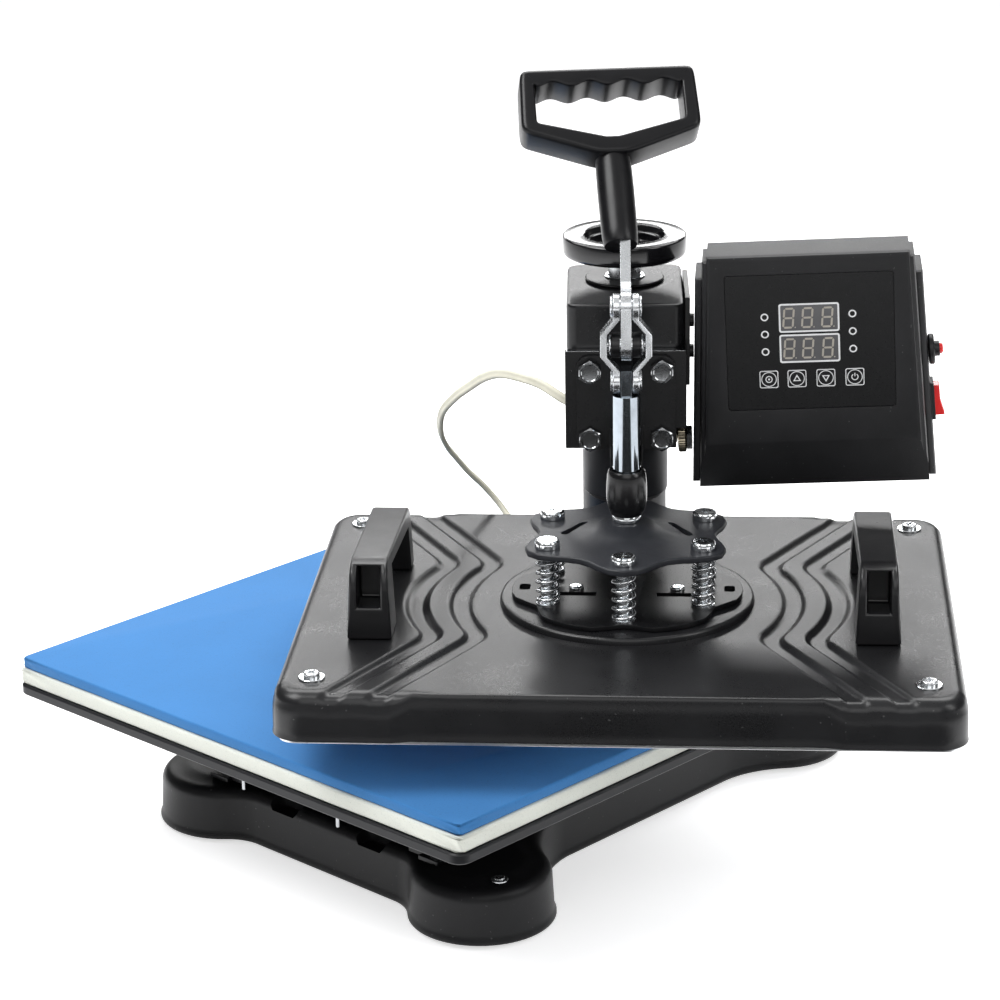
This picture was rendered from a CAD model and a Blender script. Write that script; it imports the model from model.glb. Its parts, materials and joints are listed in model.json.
import json
import math

import bmesh
import bpy
from bpy.props import FloatProperty, FloatVectorProperty, IntProperty, PointerProperty
from mathutils import Matrix, Vector, noise


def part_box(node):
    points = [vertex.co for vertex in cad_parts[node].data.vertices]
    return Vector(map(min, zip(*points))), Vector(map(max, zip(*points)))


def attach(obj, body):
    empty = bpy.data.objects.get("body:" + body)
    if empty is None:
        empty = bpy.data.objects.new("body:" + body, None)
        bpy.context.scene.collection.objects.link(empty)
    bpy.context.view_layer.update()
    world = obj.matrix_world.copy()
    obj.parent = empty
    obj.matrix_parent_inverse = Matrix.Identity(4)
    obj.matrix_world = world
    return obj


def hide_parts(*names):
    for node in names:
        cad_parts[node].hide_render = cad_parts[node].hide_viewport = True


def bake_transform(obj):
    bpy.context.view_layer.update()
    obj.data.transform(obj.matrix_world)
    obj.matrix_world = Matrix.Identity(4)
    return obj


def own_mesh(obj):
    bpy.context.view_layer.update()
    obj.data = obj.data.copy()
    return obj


bl_info = {
    "name": "Swing-away heat press",
    "version": (1, 1, 0),
    "blender": (4, 5, 0),
    "location": "3D View > Sidebar > Heat press",
    "description": "Dresses the packed solids of a swing-away heat press with finishes and fine pieces",
    "category": "Object",
}

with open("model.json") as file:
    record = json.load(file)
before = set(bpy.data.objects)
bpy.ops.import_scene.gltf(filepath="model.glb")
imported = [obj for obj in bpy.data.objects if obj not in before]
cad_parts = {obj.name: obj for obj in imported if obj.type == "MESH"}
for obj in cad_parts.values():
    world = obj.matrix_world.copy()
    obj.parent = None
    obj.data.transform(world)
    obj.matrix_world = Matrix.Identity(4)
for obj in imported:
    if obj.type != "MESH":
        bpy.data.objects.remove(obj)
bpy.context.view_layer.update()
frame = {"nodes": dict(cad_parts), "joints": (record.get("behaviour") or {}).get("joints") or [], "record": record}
JOINTS = {joint["name"]: joint for joint in frame["joints"]}
MM = 0.001

# Turns in degrees, the handles' gap over the cover and the shoulder screws' heads in mm
PLATEN_TURN, BOX_TURN, BOX_LEAN, LEVER_LEAN = -2.66, -3, -2.4, -40
HANDLE_GAP, SCREW_HEAD = 0.3, 4.9


def middle(node):
    low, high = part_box(node)
    return (low + high) / 2


def level(node, top=True):
    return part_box(node)[1 if top else 0].z


def turn(degrees, axis="Z"):
    return Matrix.Rotation(math.radians(degrees), 4, axis)


def shift(x, y, z):
    """A move in mm"""
    return Matrix.Translation((x * MM, y * MM, z * MM))


def spot(matrix, x, y, z, degrees=0.0):
    """A place in one of the assembly's frames, in mm"""
    return matrix @ shift(x, y, z) @ turn(degrees)


# Frames of the assembly: the base, the swung head, the platen on its ram and the leaning control box
POST = middle("swing_post")
PAD = middle("blue_pad")
PIVOT = Vector(JOINTS["lever_turn"]["pos_m"])
REACH = math.hypot(POST.x - PIVOT.x, POST.y - PIVOT.y)
BASE = Matrix.Translation((PAD.x, PAD.y, 0))
HEAD = (
    Matrix.Translation((POST.x, POST.y, 0))
    @ turn(-JOINTS["head_swing"]["range_deg"][0])
    @ Matrix.Translation((0, -REACH, 0))
)
HEAD_TURN = HEAD.to_3x3().to_4x4()
PLATEN = HEAD @ turn(PLATEN_TURN)
BOX = HEAD @ shift(112.6, 41, 240.2) @ turn(BOX_TURN) @ turn(BOX_LEAN, "Y")

COVER_TOP = level("side_handle_left", top=False) / MM - HANDLE_GAP
FLOAT_TOP = level("float_plate") / MM
SPIDER_TOP = level("shoulder_screw_1") / MM - SCREW_HEAD


def colour_setting(name, note, default):
    return FloatVectorProperty(name=name, description=note, default=default, subtype="COLOR", size=3)


def angle_setting(name, note, degrees):
    return FloatProperty(name=name, description=note, default=math.radians(degrees), unit="ROTATION")


def length_setting(name, note, default):
    return FloatProperty(name=name, description=note, default=default, unit="LENGTH", min=0.0)


class PressStage(bpy.types.PropertyGroup):
    """Camera, floor and light"""

    lens: FloatProperty(name="Lens", description="Focal length of the camera", default=118.08, unit="CAMERA")
    azimuth: angle_setting("Azimuth", "Camera's turn about the press", 43.76)
    elevation: angle_setting("Elevation", "Camera's height above level", 19.0)
    roll: angle_setting("Roll", "Camera's lean", -0.99)
    distance: length_setting("Distance", "Camera's distance from its target", 2.125)
    target: FloatVectorProperty(
        name="Target", description="Point that the camera turns about",
        default=HEAD @ Vector((-80.7 * MM, 183.1 * MM, 178.6 * MM)), subtype="TRANSLATION", size=3,
    )
    key_power: FloatProperty(name="Key power", description="Power of the large soft light", default=30, unit="POWER")
    floor_glow: FloatProperty(
        name="Floor glow", description="Share of white that the floor shows by itself", default=0.62, min=0.0
    )
    floor_colour: colour_setting("Floor colour", "Colour of the floor", (0.86, 0.86, 0.87))


class PressColours(bpy.types.PropertyGroup):
    """Base colours of the finishes"""

    cast_paint: colour_setting("Cast paint", "Textured black paint", (0.0085, 0.0086, 0.0096))
    satin_paint: colour_setting("Satin paint", "Smooth black paint", (0.006, 0.0061, 0.0068))
    grey_paint: colour_setting("Grey paint", "Dark grey paint", (0.028, 0.03, 0.036))
    pad_blue: colour_setting("Pad blue", "Silicone foam pad", (0.034, 0.185, 0.46))
    sheet_white: colour_setting("Sheet white", "Pale felt sheet", (0.76, 0.78, 0.71))
    zinc: colour_setting("Zinc", "Bright plated steel", (0.74, 0.76, 0.78))
    brass: colour_setting("Brass", "Plated ring of the connector", (0.4, 0.35, 0.26))
    cable_cream: colour_setting("Cable cream", "Cable's sheath", (0.74, 0.72, 0.6))
    signal_red: colour_setting("Red", "Rocker and breaker cap", (0.74, 0.012, 0.012))
    print_white: colour_setting("Print", "Ink of the panel's marks", (0.8, 0.81, 0.82))


class PressSizes(bpy.types.PropertyGroup):
    """Sizes of the fine pieces"""

    wire: length_setting("Wire", "Radius of the springs' wire", 1.05 * MM)
    coils: IntProperty(name="Coils", description="Turns of each spring", default=6, min=2)
    washer: length_setting("Washer", "Radius of the cover screws' washers", 7.6 * MM)
    ink: length_setting("Ink", "Height of the panel's marks", 0.08 * MM)


class Wire:
    """One socket's value in a node tree, with arithmetic"""

    def __init__(self, graph, socket):
        self.graph = graph
        self.socket = socket

    def maths(self, operation, first, second):
        return self.graph.node("ShaderNodeMath", {0: first, 1: second}, operation=operation)["Value"]

    def __add__(self, other):
        return self.maths("ADD", self, other)

    def __radd__(self, other):
        return self.maths("ADD", other, self)

    def __sub__(self, other):
        return self.maths("SUBTRACT", self, other)

    def __rsub__(self, other):
        return self.maths("SUBTRACT", other, self)

    def __mul__(self, other):
        return self.maths("MULTIPLY", self, other)

    def __rmul__(self, other):
        return self.maths("MULTIPLY", other, self)

    def larger(self, other):
        return self.maths("MAXIMUM", self, other)

    def between(self, low, high, least=0.0, most=1.0):
        """The least value below low, the most above high, smooth between"""
        sockets = {"Value": self, "From Min": low, "From Max": high, "To Min": least, "To Max": most}
        return self.graph.node("ShaderNodeMapRange", sockets, interpolation_type="SMOOTHSTEP")["Result"]

    def pick(self, first, second):
        """The first colour at 0, the second at 1"""
        mix = self.graph.node("ShaderNodeMix", {0: self, 6: first, 7: second}, data_type="RGBA")
        return Wire(self.graph, mix.outputs[2])


class Made:
    """A node whose outputs are reached by name or number"""

    def __init__(self, graph, node):
        self.graph = graph
        self.outputs = node.outputs

    def __getitem__(self, name):
        return Wire(self.graph, self.outputs[name])


class Graph:
    """A node tree, with one way to make its nodes"""

    def __init__(self, tree):
        self.tree = tree

    def feed(self, socket, value):
        if isinstance(value, Wire):
            self.tree.links.new(value.socket, socket)
        elif hasattr(value, "__len__") and len(value) == 3 and socket.type == "RGBA":
            socket.default_value = (*value, 1.0)
        else:
            socket.default_value = value

    def node(self, kind, sockets=None, **settings):
        made = self.tree.nodes.new(kind)
        for name, value in settings.items():
            setattr(made, name, value)
        for name, value in (sockets or {}).items():
            self.feed(made.inputs[name], value)
        return Made(self, made)


class Finish(Graph):
    """A material's node tree round one surface shader"""

    def __init__(self, name, **constants):
        self.material = bpy.data.materials.new(name)
        self.material.use_nodes = True
        super().__init__(self.material.node_tree)
        self.shader = self.tree.nodes["Principled BSDF"]
        self.set(**constants)
        self.place = self.node("ShaderNodeTexCoord")["Object"]

    def set(self, **sockets):
        for name, value in sockets.items():
            self.feed(self.shader.inputs[name.replace("_", " ")], value)
        return self

    def tint(self, mask, colour, first, second):
        """Base colour between two shades of one colour, the first factor at 0 and the second at 1"""
        self.set(Base_Color=mask.pick(shade(colour, first), shade(colour, second)))

    def noise(self, size, detail=2.0, roughness=0.5, place=None):
        """Noise whose grains are about this size in metres"""
        sockets = {"Vector": place or self.place, "Scale": 1 / size, "Detail": detail, "Roughness": roughness}
        return self.node("ShaderNodeTexNoise", sockets)["Fac"]

    def stretched(self, x, y, z):
        """The place, scaled along each axis"""
        return self.node("ShaderNodeVectorMath", {0: self.place, 1: (x, y, z)}, operation="MULTIPLY")["Vector"]

    def bump(self, height, depth, strength):
        bumped = self.node("ShaderNodeBump", {"Height": height, "Distance": depth, "Strength": strength})
        return self.set(Normal=bumped["Normal"])


def shade(colour, factor):
    return tuple(min(1.0, part * factor) for part in colour)


def cast_paint(name, colour, roughness=0.42, grain=0.7 * MM, depth=0.05 * MM, gloss=0.28):
    """Powder coat over a casting: fine orange peel, dusty patches and a few pale specks"""
    finish = Finish(name, Specular_IOR_Level=gloss)
    peel = finish.noise(grain, 3.0, 0.6)
    patches = finish.noise(45 * MM, 3.0, 0.55)
    specks = finish.noise(1.7 * MM, 0.0).between(0.83, 0.86)
    tone = patches.between(0.3, 0.75).pick(shade(colour, 0.85), shade(colour, 1.3))
    finish.set(Base_Color=(specks * 0.2).pick(tone, (0.25, 0.25, 0.25)))
    finish.set(Roughness=roughness + (peel - 0.5) * 0.16 + (patches - 0.5) * 0.1)
    return finish.bump(peel + finish.noise(grain * 3, 2.0) * 0.8, depth, 0.55)


def satin_paint(name, colour, roughness=0.3, depth=0.012 * MM, gloss=0.3):
    """Smooth paint on sheet steel with faint waves and dust"""
    finish = Finish(name, Specular_IOR_Level=gloss)
    waves = finish.noise(9 * MM, 2.0)
    dust = finish.noise(1.1 * MM, 3.0, 0.65)
    finish.tint(waves, colour, 0.85, 1.25)
    finish.set(Roughness=roughness + (dust - 0.5) * 0.18)
    return finish.bump(waves + dust * 0.25, depth, 0.6)


def chipped_paint(name, colour, chip):
    """Smooth paint with bare metal showing in small chips"""
    finish = Finish(name, Specular_IOR_Level=0.4)
    chips = finish.noise(2.6 * MM, 5.0, 0.7).between(0.72, 0.75)
    dust = finish.noise(1.1 * MM, 3.0, 0.65)
    finish.set(Base_Color=chips.pick(colour, chip), Metallic=chips)
    finish.set(Roughness=0.3 + (dust - 0.5) * 0.18)
    return finish.bump(dust * 0.3 - chips * 0.7, 0.04 * MM, 0.6)


def bare_metal(name, colour, roughness, grain=(1, 1, 1), size=1.4 * MM):
    """Plated or turned metal: fine streaks along the grain and dulled patches"""
    finish = Finish(name, Metallic=1.0)
    streaks = finish.noise(size, 3.0, 0.6, finish.stretched(*grain))
    dull = finish.noise(14 * MM, 3.0, 0.6)
    finish.tint(dull.between(0.35, 0.8), colour, 1.08, 0.8)
    finish.set(Roughness=roughness + (streaks - 0.5) * 0.12 + (dull - 0.5) * 0.12)
    return finish.bump(streaks, 0.006 * MM, 0.25)


def moulded_plastic(name, colour, roughness=0.38, depth=0.02 * MM, gloss=0.4):
    """Moulded plastic with a fine spark-eroded grain and handling marks"""
    finish = Finish(name, Specular_IOR_Level=gloss)
    grain = finish.noise(0.5 * MM, 2.0, 0.6)
    marks = finish.noise(22 * MM, 4.0, 0.6)
    finish.tint(marks, colour, 0.8, 1.35)
    finish.set(Roughness=roughness + (marks - 0.5) * 0.2 + (grain - 0.5) * 0.08)
    return finish.bump(grain, depth, 0.5)


def gloss_black(name, colour):
    """Polished enamel with faint smears"""
    finish = Finish(name, Coat_Weight=0.35, Coat_Roughness=0.1)
    smears = finish.noise(18 * MM, 4.0, 0.6)
    finish.tint(smears, colour, 0.8, 1.5)
    finish.set(Roughness=0.15 + (smears - 0.4) * 0.1)
    return finish.bump(finish.noise(3 * MM, 2.0), 0.004 * MM, 0.4)


def foam(name, colour, pores, depth, roughness):
    """Closed-cell foam: soft sheen, tiny pores and uneven colour"""
    finish = Finish(name, Sheen_Weight=0.12, Sheen_Roughness=0.6, Specular_IOR_Level=0.25)
    cells = finish.noise(pores, 4.0, 0.65)
    clouds = finish.noise(60 * MM, 3.0, 0.5)
    tone = clouds.pick(shade(colour, 0.9), shade(colour, 1.1))
    finish.set(Base_Color=cells.between(0.2, 0.45).pick(shade(colour, 0.6), tone))
    finish.set(Roughness=roughness + (cells - 0.5) * 0.12)
    return finish.bump(cells, depth, 0.7)


def printed_ink(name, colour):
    """Screen-printed ink: matt, slightly uneven cover"""
    finish = Finish(name, Specular_IOR_Level=0.3)
    cover = finish.noise(0.9 * MM, 2.0)
    finish.tint(cover, colour, 0.85, 1.0)
    finish.set(Roughness=0.55 + (cover - 0.5) * 0.2)
    return finish


def display_lens(name, colour):
    """Smoked window over unlit digits"""
    finish = Finish(name, Coat_Weight=0.3, Coat_Roughness=0.08)
    haze = finish.noise(4 * MM, 2.0)
    finish.tint(haze, colour, 0.9, 1.1)
    finish.set(Roughness=0.22 + (haze - 0.5) * 0.1)
    return finish


FINISHES = {}


def finishes(colours):
    """All finishes, made once from the user's colours"""
    FINISHES.update(
        cast=cast_paint("cast_black_paint", colours.cast_paint),
        cover=cast_paint("cover_black_paint", colours.cast_paint, 0.3, 0.8 * MM, 0.04 * MM, 0.4),
        housing=cast_paint("housing_black_paint", shade(colours.cast_paint, 1.2), 0.45, 0.6 * MM, 0.1 * MM, 0.4),
        block=cast_paint("block_black_paint", colours.cast_paint, 0.3, 1.2 * MM, 0.025 * MM, 0.35),
        satin=satin_paint("satin_black_paint", colours.satin_paint),
        chipped=chipped_paint("chipped_black_paint", colours.satin_paint, colours.zinc),
        spider=satin_paint("spider_grey_paint", shade(colours.grey_paint, 0.75), 0.38, 0.02 * MM),
        grey=satin_paint("grey_paint", shade(colours.grey_paint, 0.7), 0.4, gloss=0.18),
        platen=satin_paint("platen_grey_paint", shade(colours.grey_paint, 0.3), 0.4),
        zinc=bare_metal("zinc_plate", colours.zinc, 0.26),
        bright=bare_metal("bright_plate", shade(colours.zinc, 1.2), 0.14),
        dark_steel=bare_metal("dark_bolt_steel", shade(colours.zinc, 0.55), 0.13, size=1.0 * MM),
        brass=bare_metal("knurled_brass", colours.brass, 0.3),
        chrome=bare_metal("chrome", (0.36, 0.4, 0.44), 0.09, (1, 1, 0.15)),
        spring=bare_metal("spring_wire", (0.78, 0.8, 0.82), 0.22),
        aluminium=bare_metal("heating_aluminium", (0.72, 0.73, 0.74), 0.32, (0.1, 1, 1)),
        plastic=moulded_plastic("black_plastic", (0.006, 0.006, 0.007)),
        grip=moulded_plastic("grip_plastic", (0.004, 0.004, 0.005), 0.32, gloss=0.32),
        handle=moulded_plastic("handle_plastic", (0.006, 0.006, 0.007), 0.32, gloss=0.5),
        gloss=gloss_black("gloss_enamel", (0.004, 0.004, 0.005)),
        barrel=satin_paint("barrel_black_paint", shade(colours.satin_paint, 0.8), 0.24, 0.03 * MM, 0.5),
        panel=satin_paint("panel_film", (0.0062, 0.0064, 0.007), 0.3, 0.004 * MM, 0.3),
        rubber=moulded_plastic("foot_rubber", (0.01, 0.01, 0.01), 0.75, 0.05 * MM),
        blue=foam("blue_silicone_foam", colours.pad_blue, 0.9 * MM, 0.12 * MM, 0.8),
        white=foam("white_felt", colours.sheet_white, 0.7 * MM, 0.12 * MM, 0.9),
        board=foam("insulation_board", (0.5, 0.46, 0.38), 0.8 * MM, 0.1 * MM, 0.95),
        cable=moulded_plastic("cable_sheath", colours.cable_cream, 0.5),
        red=moulded_plastic("red_plastic", colours.signal_red, 0.22, 0.006 * MM, 0.5),
        ink=printed_ink("panel_ink", colours.print_white),
        segment=printed_ink("digit_segment", (0.4, 0.37, 0.32)),
        lens=display_lens("display_window", (0.085, 0.085, 0.09)),
        dark=moulded_plastic("recess_black", (0.002, 0.002, 0.002), 0.5),
    )


def linked(name, data):
    """A new object in the scene"""
    made = bpy.data.objects.new(name, data)
    bpy.context.scene.collection.objects.link(made)
    return made


def to_object(name, mesh, finish, body, replaced=(), sharp=0):
    """A piece on its body, its mesh in the frame's metres; edges steeper than sharp, in degrees, stay crisp"""
    piece = linked(name, mesh)
    mesh.materials.clear()
    mesh.materials.append(FINISHES[finish].material)
    for face in mesh.polygons:
        face.use_smooth = True
    if sharp:
        mesh.set_sharp_from_angle(angle=math.radians(sharp))
    if body:
        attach(piece, body)
    if replaced:
        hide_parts(*replaced)
    return piece


def mesh_of(name, points, faces):
    """A mesh from points in metres, with its faces turned outwards"""
    mesh = bpy.data.meshes.new(name)
    mesh.from_pydata(points, [], faces)
    work = bmesh.new()
    work.from_mesh(mesh)
    bmesh.ops.recalc_face_normals(work, faces=work.faces)
    work.to_mesh(mesh)
    work.free()
    return mesh


def merged(name, parts):
    """One mesh from several (points, faces, matrix) parts"""
    points, faces = [], []
    for part_points, part_faces, matrix in parts:
        start = len(points)
        points.extend(matrix @ Vector(point) for point in part_points)
        faces.extend(tuple(start + index for index in face) for face in part_faces)
    return mesh_of(name, points, faces)


def solid(name, parts, finish, body, replaced=(), sharp=32):
    """A piece merged from (points, faces, matrix) parts"""
    return to_object(name, merged(name, parts), finish, body, replaced, sharp)


def rounded(piece, width):
    """Rounded edges with clean shading"""
    bevel = piece.modifiers.new("edges", "BEVEL")
    bevel.width = width
    bevel.segments = 2
    bevel.limit_method = "ANGLE"
    bevel.angle_limit = math.radians(35)
    piece.modifiers.new("shading", "WEIGHTED_NORMAL")


def carved(mesh, *cutters):
    """The mesh with the cutters' meshes taken out of it"""
    blank = linked("blank", mesh)
    tools = [linked("cutter", cutter) for cutter in cutters]
    for tool in tools:
        step = blank.modifiers.new("cut", "BOOLEAN")
        step.operation = "DIFFERENCE"
        step.solver = "EXACT"
        step.object = tool
    graph = bpy.context.evaluated_depsgraph_get()
    result = bpy.data.meshes.new_from_object(blank.evaluated_get(graph))
    for made in (blank, *tools):
        bpy.data.objects.remove(made)
    return result


def body_of(node):
    return next(body for body, nodes in frame["record"]["behaviour"]["bodies"].items() if node in nodes)


def refined(node, finish, edge):
    """A node's own solid, with its flat faces merged and its edges rounded"""
    mesh = frame["nodes"][node].data.copy()
    work = bmesh.new()
    work.from_mesh(mesh)
    bmesh.ops.remove_doubles(work, verts=work.verts, dist=1e-6)
    bmesh.ops.dissolve_limit(work, angle_limit=math.radians(0.4), verts=work.verts, edges=work.edges)
    work.to_mesh(mesh)
    work.free()
    rounded(to_object(f"{node}_shell", mesh, finish, body_of(node), (node,)), edge)


def ring_faces(rings, sides, looped=False):
    """Faces that join rings of points, either capped or with the last ring joined to the first"""
    faces = []
    for ring in range(rings if looped else rings - 1):
        for side in range(sides):
            a, b = ring * sides + side, ring * sides + (side + 1) % sides
            c, d = (b + sides) % (rings * sides), (a + sides) % (rings * sides)
            faces.append((a, b, c, d))
    if not looped:
        faces.append(tuple(reversed(range(sides))))
        faces.append(tuple(range((rings - 1) * sides, rings * sides)))
    return faces


def stacked(loops, looped=False):
    """Points and faces through level loops of as many points, each with its height, in mm"""
    points = [(x * MM, y * MM, z * MM) for loop, z in loops for x, y in loop]
    return points, ring_faces(len(loops), len(loops[0][0]), looped)


def circle(radius, sides):
    angles = [2 * math.pi * k / sides for k in range(sides)]
    return [(radius * math.cos(angle), radius * math.sin(angle)) for angle in angles]


def lathe(profile, sides, looped=False):
    """A turned solid, or a ring where the profile of (radius, height) is looped"""
    return stacked([(circle(radius, sides), z) for radius, z in profile], looped)


def prism(outline, low, high):
    return stacked([(outline, low), (outline, high)])


def hollow_prism(outer, inner, low, high):
    """A band between two loops of as many points"""
    return stacked([(outer, low), (outer, high), (inner, high), (inner, low)], looped=True)


def block(width, depth, height):
    """A box that stands on z = 0"""
    x, y = width / 2, depth / 2
    return prism([(-x, -y), (x, -y), (x, y), (-x, y)], 0, height)


def round_rect(width, height, radius, steps=4):
    loop = []
    for quarter, (sx, sy) in enumerate(((1, 1), (-1, 1), (-1, -1), (1, -1))):
        for k in range(steps + 1):
            angle = math.pi / 2 * (quarter + k / steps)
            loop.append((
                sx * (width / 2 - radius) + radius * math.cos(angle),
                sy * (height / 2 - radius) + radius * math.sin(angle),
            ))
    return loop


def inset(loop, distance):
    """The counter-clockwise loop moved inwards along its normals"""
    moved = []
    for i, point in enumerate(loop):
        along = loop[(i + 1) % len(loop)] - loop[i - 1]
        moved.append(point + Vector((-along.y, along.x)).normalized() * distance)
    return moved


def tube_points(path, radius, outline, facing=Vector((0, 0, 1))):
    """Rings of points round a path; the outline gives (across, up) in radii, up along facing at the start"""
    points = []
    side_axis = None
    for i, centre in enumerate(path):
        ahead = path[min(i + 1, len(path) - 1)] - path[max(i - 1, 0)]
        ahead.normalize()
        if side_axis is None:
            side_axis = ahead.cross(facing).normalized()
        side_axis = (side_axis - ahead * side_axis.dot(ahead)).normalized()
        other = ahead.cross(side_axis)
        points.extend(centre + side_axis * radius * across + other * radius * up for across, up in outline)
    return points


def smooth_path(route, steps):
    """Even curve through the route's points"""
    dense = []
    for i in range(len(route) - 1):
        before = route[i - 1] if i else route[0] * 2 - route[1]
        after = route[i + 2] if i + 2 < len(route) else route[-1] * 2 - route[-2]
        a, b = route[i], route[i + 1]
        for k in range(steps):
            t = k / steps
            dense.append(
                0.5 * ((2 * a) + (b - before) * t + (2 * before - 5 * a + 4 * b - after) * t * t
                       + (3 * a - before - 3 * b + after) * t ** 3)
            )
    dense.append(route[-1].copy())
    return dense


class HEATPRESS_OT_stage(bpy.types.Operator):
    """Camera, floor, dark card and soft studio light"""

    bl_idname = "heatpress.stage"
    bl_label = "Stage"

    def execute(self, context):
        scene = context.scene
        settings = scene.press_stage
        scene.view_settings.view_transform = "Standard"

        azimuth, elevation, roll = settings.azimuth, settings.elevation, settings.roll
        back = Vector((
            math.sin(azimuth) * math.cos(elevation), -math.cos(azimuth) * math.cos(elevation), math.sin(elevation)
        ))
        level_right = Vector((math.cos(azimuth), math.sin(azimuth), 0))
        level_up = back.cross(level_right)
        right = math.cos(roll) * level_right + math.sin(roll) * level_up
        up = math.cos(roll) * level_up - math.sin(roll) * level_right
        camera = linked("camera", bpy.data.cameras.new("camera"))
        camera.data.sensor_width = 36
        camera.data.lens = settings.lens
        camera.data.clip_start, camera.data.clip_end = 0.1, 50
        facing = Matrix((right, up, back)).transposed().to_4x4()
        camera.matrix_world = Matrix.Translation(Vector(settings.target) + back * settings.distance) @ facing
        scene.camera = camera

        self.lay_floor(settings)
        self.light_world(scene)
        self.stand_card(level_right, back)

        centre = Vector((0, 0, 0.2))
        behind = Vector((-back.x, -back.y, 0)).normalized()
        for name, place, size, share in (
            ("key", centre - right * 1.1 + back * 0.5 + Vector((0, 0, 1.5)), (1.1, 1.1), 1.0),
            ("side", centre + right * 1.5 + back * 0.9 + Vector((0, 0, 0.8)), (0.6, 1.2), 0.3),
            ("top", centre - back * 0.9 + Vector((0, 0, 1.6)), (2.0, 0.8), 0.8),
            ("rear strip", Vector((centre.x, centre.y, 0.9)) + behind * 1.9, (2.2, 0.18), 0.34),
            ("front", centre + back * 1.9 + Vector((0, 0, 0.5)), (1.6, 1.2), 0.3),
        ):
            lamp = bpy.data.lights.new(name, "AREA")
            lamp.shape = "RECTANGLE"
            lamp.size, lamp.size_y = size
            lamp.energy = settings.key_power * share
            holder = linked(name, lamp)
            holder.location = place
            holder.rotation_euler = (centre - place).to_track_quat("-Z", "Y").to_euler()
        return {"FINISHED"}

    def sheet(self, name, corners, finish):
        """A level sheet with four corners"""
        mesh = mesh_of(name, corners, [(0, 1, 2, 3)])
        mesh.materials.append(finish.material)
        return linked(name, mesh)

    def lay_floor(self, settings):
        """Paper that glows white towards the camera and in the gloss, but lights nothing"""
        half = 9
        paper = Finish("floor_paper", Roughness=0.9, Specular_IOR_Level=0.1, Base_Color=settings.floor_colour)
        rays = paper.node("ShaderNodeLightPath")
        seen = rays["Is Camera Ray"].larger(rays["Is Glossy Ray"]).larger(rays["Is Transmission Ray"])
        glow = paper.node("ShaderNodeEmission", {"Color": (1, 1, 1), "Strength": seen * settings.floor_glow})[0]
        total = paper.node("ShaderNodeAddShader", {0: Wire(paper, paper.shader.outputs[0]), 1: glow})[0]
        paper.feed(paper.tree.nodes["Material Output"].inputs["Surface"], total)
        corners = [(-half, -half, 0), (half, -half, 0), (half, half, 0), (-half, half, 0)]
        self.sheet("floor", corners, paper)

    def light_world(self, scene):
        """White to the camera; for light and gloss, bright overhead and dim along the horizon"""
        scene.world = bpy.data.worlds.new("studio")
        scene.world.use_nodes = True
        sky = Graph(scene.world.node_tree)
        height = sky.node("ShaderNodeSeparateXYZ", {0: sky.node("ShaderNodeTexCoord")["Generated"]})["Z"]
        dome = height.between(0.35, 0.95, 0.1, 0.6)
        seen = sky.node("ShaderNodeLightPath")["Is Camera Ray"]
        strength = sky.node("ShaderNodeMapRange", {"Value": seen, "To Min": dome, "To Max": 1.0})["Result"]
        backdrop = sky.tree.nodes["Background"]
        sky.feed(backdrop.inputs["Color"], (1, 1, 1))
        sky.feed(backdrop.inputs["Strength"], strength)

    def stand_card(self, level_right, back):
        """A dark card that lies on the floor in front, which only polished pieces reflect"""
        ahead = Vector((back.x, back.y, 0)).normalized()
        foot = Vector((PIVOT.x, PIVOT.y, 0)) + ahead * 0.3
        half_width, depth, lift = 0.5, 0.9, Vector((0, 0, 0.002))
        corners = [
            foot + level_right * x + ahead * y + lift
            for x, y in ((-half_width, 0), (half_width, 0), (half_width, depth), (-half_width, depth))
        ]
        felt = Finish("card_felt", Base_Color=(0.004, 0.004, 0.004), Roughness=0.95)
        card = self.sheet("dark_card", corners, felt)
        for ray in ("camera", "diffuse", "shadow", "transmission"):
            setattr(card, f"visible_{ray}", False)


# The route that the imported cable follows, in the head's frame, in mm
CABLE_ROUTE = [
    (31, 52, 262.9), (26, 51.6, 263.4), (14, 50, 268), (-4, 48.5, 276), (-20, 48, 282), (-36, 49, 288),
    (-51, 58, 295), (-65, 68, 297), (-76, 78, 296), (-86, 90, 290), (-95, 102, 281), (-105, 115, 270),
    (-114, 128, 256), (-116, 140, 240), (-113, 150, 227), (-108, 158, 217), (-100, 166, 204), (-91, 171, 193),
    (-82, 171, 182), (-76, 166, 175), (-73, 160.6, 172), (-72.8, 158.1, 171.6),
]


class HEATPRESS_OT_cable(bpy.types.Operator):
    """Cream twin cable from the head block to the heating platen"""

    bl_idname = "heatpress.cable"
    bl_label = "Signal cable"

    def execute(self, context):
        path = smooth_path([HEAD @ (Vector(point) * MM) for point in CABLE_ROUTE], 8)
        lobe_centre, lobe_radius, half_width = 0.46, 0.54, 3.0 * MM
        angles = [math.radians(degrees) for degrees in range(-120, 121, 24)]
        lobe = [(lobe_centre + lobe_radius * math.cos(a), lobe_radius * math.sin(a)) for a in angles]
        outline = lobe + [(-across, -up) for across, up in lobe]
        points = tube_points(path, half_width, outline, HEAD.to_3x3() @ Vector((0.9, 0.45, 0)))
        mesh = mesh_of("signal_cable_sheath", points, ring_faces(len(path), len(outline)))
        cable = to_object("signal_cable_sheath", mesh, "cable", None, ("signal_cable",))
        length = sum((b - a).length for a, b in zip(path, path[1:]))
        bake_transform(cable)
        return {"FINISHED"}


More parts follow.
